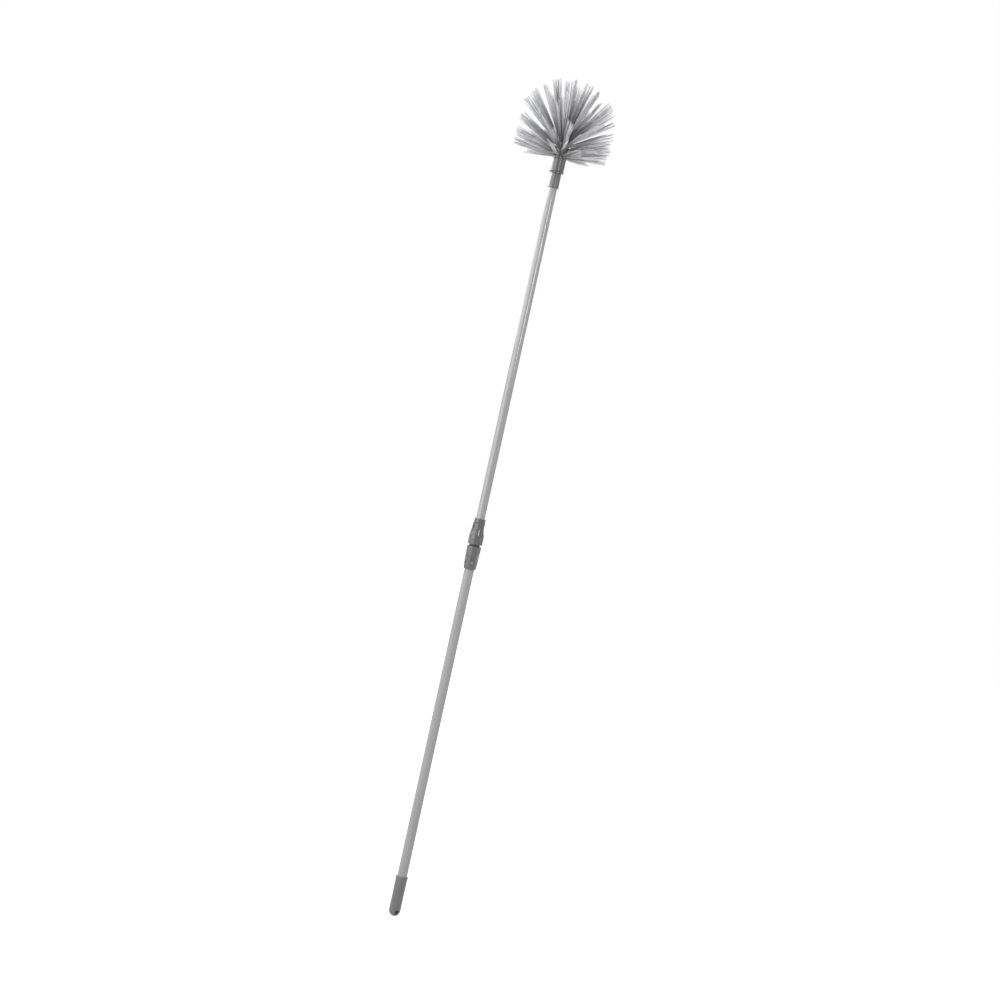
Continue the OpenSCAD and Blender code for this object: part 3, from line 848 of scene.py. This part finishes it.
def add_strand(mesh, layers, place, bend, shade):
    """Copies the unit strand to a place in a mesh under construction, with a bend and a shade."""
    shade_layer, along_layer = layers
    before = len(mesh.verts)
    mesh.from_mesh(strand_mesh)
    mesh.verts.ensure_lookup_table()
    for vertex in mesh.verts[before:]:
        share = vertex.co.z
        vertex.co = place @ vertex.co + bend * (4 * share * (1 - share))
        vertex[shade_layer] = shade
        vertex[along_layer] = share


print("strand helpers ready")

# %% [markdown]
# ## A row of tufts
# A tuft is punched flat into its hole and opens into a fan. Its strands keep together in a few locks,
# which is what gives the brush its streaks of light and dark, and their tips end at different lengths.
# Each strand is placed by the tuft's own three directions: along it, across the fan and through it.
# Chance scatters the strands, from a fixed seed, so that the brush comes out the same each time.

# %% Fill a tuft with strands
STRANDS = 110
LOCKS = 9
STRAND_R = 0.24
FAN_WIDTH = 21.0
FAN_DEPTH = 5.6
ROOT_WIDTH = 3
ROOT_DEPTH = 2
ROOT_SCATTER = 0.2
ROOT_SUNK = 1.6
SCATTER_ACROSS = 0.35
SCATTER_THROUGH = 0.4
SHORTEST_LOCK = 0.97
SHORTENING = 0.022
BEND = 1.3
TUFT_SHADES = 0.12
LOCK_SHADES = 0.9
STRAND_SHADES = 0.2
chance = random.Random(7)


def tuft_directions(way, turn):
    """The directions across a fan and through it, turned by so many degrees about its own."""
    level = Vector((0, 0, 1)).cross(way)
    sideways = level.normalized() if level.length > ALMOST_UPRIGHT else Vector((1, 0, 0))
    up = way.cross(sideways)
    angle = math.radians(turn)
    across = up * math.cos(angle) + sideways * math.sin(angle)
    through = sideways * math.cos(angle) - up * math.sin(angle)
    return across, through


def draw_locks():
    """The locks of a tuft: the place of each across the fan and through it, its shade and length."""
    return [((number + 0.5) / LOCKS - 0.5 + chance.uniform(-0.04, 0.04), chance.uniform(-0.5, 0.5),
             chance.uniform(0, 1), chance.uniform(SHORTEST_LOCK, 1)) for number in range(LOCKS)]


def add_tuft(mesh, layers, root, way, turn):
    """Adds one tuft of strands to a mesh under construction."""
    across, through = tuft_directions(way, turn)
    length = reach(root, way)
    locks = draw_locks()
    tuft_shade = chance.uniform(-TUFT_SHADES, TUFT_SHADES)
    for number in range(STRANDS):
        lock_across, lock_through, lock_shade, lock_length = locks[number % LOCKS]
        root_across, root_through = chance.uniform(-0.5, 0.5), chance.uniform(-0.5, 0.5)
        foot = root + across * (ROOT_WIDTH * (lock_across + root_across * ROOT_SCATTER))
        foot = foot + through * (ROOT_DEPTH * root_through) - way * ROOT_SUNK
        far_across = FAN_WIDTH * lock_across + chance.gauss(0, SCATTER_ACROSS)
        far_through = FAN_DEPTH * lock_through + chance.gauss(0, SCATTER_THROUGH)
        aim = (root + way * length + across * far_across + through * far_through - foot).normalized()
        share = lock_length * (1 - abs(chance.gauss(0, SHORTENING)))
        tip = foot + aim * (reach(foot, aim) * share)
        bend = (across * chance.gauss(0, BEND) + through * chance.gauss(0, BEND)) * MM
        thickness = STRAND_R * chance.uniform(0.8, 1.15) * MM
        place = strand_matrix(foot * MM, tip * MM, thickness, chance.uniform(0, 6.28))
        shade = 0.5 + tuft_shade + (lock_shade - 0.5) * LOCK_SHADES + chance.gauss(0, STRAND_SHADES)
        add_strand(mesh, layers, place, bend, min(max(shade, 0), 1))


print("tuft helpers ready")

# %% [markdown]
# Each row of tufts becomes one piece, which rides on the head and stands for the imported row.

# %% Build the rows
def tuft_piece(name, node, places):
    """All the tufts of one row as one piece."""
    mesh = bmesh.new()
    layers = [mesh.verts.layers.float.new(layer) for layer in ("strand_shade", "strand_along")]
    for root, way, turn in places:
        add_tuft(mesh, layers, root, way, turn)
    data = bpy.data.meshes.new(name)
    mesh.to_mesh(data)
    mesh.free()
    piece = bpy.data.objects.new(name, data)
    bpy.context.scene.collection.objects.link(piece)
    finish_piece(piece, bristle_grey, "head", "bristles", node)


for row in range(ROWS):
    tuft_piece(f"tufts_{row + 1}", f"tuft_row_{row + 1}", tuft_places(row))
tuft_piece("tufts_crown", "tuft_crown", all_places[-1:])

# %% [markdown]
# ## Inside the pole
# The collet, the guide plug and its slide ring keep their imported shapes, and get their plastics.

# %% Dress the inner parts
for node_name, material in (
    ("lock_collet", collet_plastic), ("guide_ring", collet_plastic), ("guide_plug", plug_plastic)):
    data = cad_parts[node_name].data
    data.materials.clear()
    data.materials.append(material)
    print(node_name, "is finished in", material.name)

# %% [markdown]
# ## Floor and backdrop
# The photograph was taken in a white studio. Floor and backdrop show as plain white to the camera and
# in reflections, but send less light than that onto the brush, so its greys stay as they were mixed.
# The floor glows less near the brush, where its shadow falls, and becomes plain white further out.

# %% Floor
PURE_WHITE = (1, 1, 1, 1)
NEAR_AND_FAR = (0.5, 1.5)
NEAR_GLOW = 0.45


def seen_as_white(tree):
    """1 for the rays that show the background: the camera's, and those of reflections and glass."""
    rays = add_node(tree, "LightPath").outputs
    seen = rays["Is Camera Ray"]
    for kind in ("Is Glossy Ray", "Is Transmission Ray"):
        seen = add_node(tree, "Math", {0: seen, 1: rays[kind]}, operation="MAXIMUM").outputs[0]
    return seen


deselect()
bpy.ops.mesh.primitive_circle_add(vertices=64, radius=9, fill_type="NGON")
floor = bpy.context.object
floor.name = "floor"
floor_material, floor_tree, floor_shader = start_material("floor")
floor_shader.inputs["Base Color"].default_value = (0.9, 0.9, 0.9, 1)
floor_shader.inputs["Roughness"].default_value = 0.9
floor_place = add_node(floor_tree, "TexCoord").outputs["Object"]
floor_distance = add_node(floor_tree, "VectorMath", {0: floor_place}, operation="LENGTH").outputs["Value"]
white_far = spread(floor_tree, floor_distance, NEAR_AND_FAR, (NEAR_GLOW, 1))
glow = add_node(floor_tree, "Math", {0: seen_as_white(floor_tree), 1: white_far}, operation="MULTIPLY")
white = add_node(floor_tree, "Emission", {"Color": PURE_WHITE, "Strength": glow.outputs[0]})
both = add_node(floor_tree, "AddShader", {0: floor_shader.outputs[0], 1: white.outputs[0]})
floor_tree.links.new(both.outputs[0], floor_tree.nodes["Material Output"].inputs["Surface"])
floor.data.materials.append(floor_material)
print("floor ready")

# %% World
AMBIENT = 0.57
world = bpy.data.worlds.new("studio")
bpy.context.scene.world = world
world.use_nodes = True
world_tree = world.node_tree
ambient = world_tree.nodes["Background"]
ambient.inputs["Color"].default_value = PURE_WHITE
ambient.inputs["Strength"].default_value = AMBIENT
backdrop = add_node(world_tree, "Background", {"Color": PURE_WHITE, "Strength": 1.0})
sky = add_node(world_tree, "MixShader", {
    "Fac": seen_as_white(world_tree), 1: ambient.outputs[0], 2: backdrop.outputs[0]})
world_tree.links.new(sky.outputs[0], world_tree.nodes["World Output"].inputs["Surface"])
print("world ready")

# %% [markdown]
# ## Lamps
# Five soft lamps stand round the pole. The large one on the left lights the front, and shows its edge
# as a clear line down the plastic. Two flat ones behind it light the left edges: a weak one all the
# way up, and a stronger one for the head. A small one on the right draws the bright line up the upper
# tube and the glint on the nut, and a wide, weak one fills the right side.

# %% Lamps
def softbox(name, turn, distance, height, width, tall, radiance):
    """A flat lamp beside the pole. turn is its angle from the camera, in degrees to the right."""
    angle = math.radians(turn)
    way = view_level_back * math.cos(angle) + view_right * math.sin(angle)
    lamp = bpy.data.lights.new(name, "AREA")
    lamp.shape = "RECTANGLE"
    lamp.size, lamp.size_y = width, tall
    lamp.energy = radiance * math.pi * width * tall
    holder = bpy.data.objects.new(name, lamp)
    bpy.context.scene.collection.objects.link(holder)
    holder.location = way * distance + Vector((0, 0, height))
    holder.rotation_mode = "QUATERNION"
    holder.rotation_quaternion = (-way).to_track_quat("-Z", "Y")
    print(f"{name}: {lamp.energy:.0f} W")


softbox("left_softbox", turn=-55, distance=2.2, height=1.3, width=2.64, tall=1.7, radiance=3.4)
softbox("left_rim", turn=-115, distance=2.2, height=1.58, width=2.5, tall=0.5, radiance=3)
softbox("head_rim", turn=-115, distance=2.2, height=2.0, width=2.5, tall=0.34, radiance=9)
softbox("right_strip", turn=28, distance=2.6, height=1.6, width=0.7, tall=0.58, radiance=17)
softbox("right_fill", turn=80, distance=2.4, height=1.2, width=1.6, tall=1.8, radiance=0.9)

# %% [markdown]
# ## Finish
# The visual model has to keep to the imported one's size. The view transform is Standard, so a
# colour comes out as it was mixed.

# %% Finish
bpy.context.scene.view_settings.view_transform = "Standard"
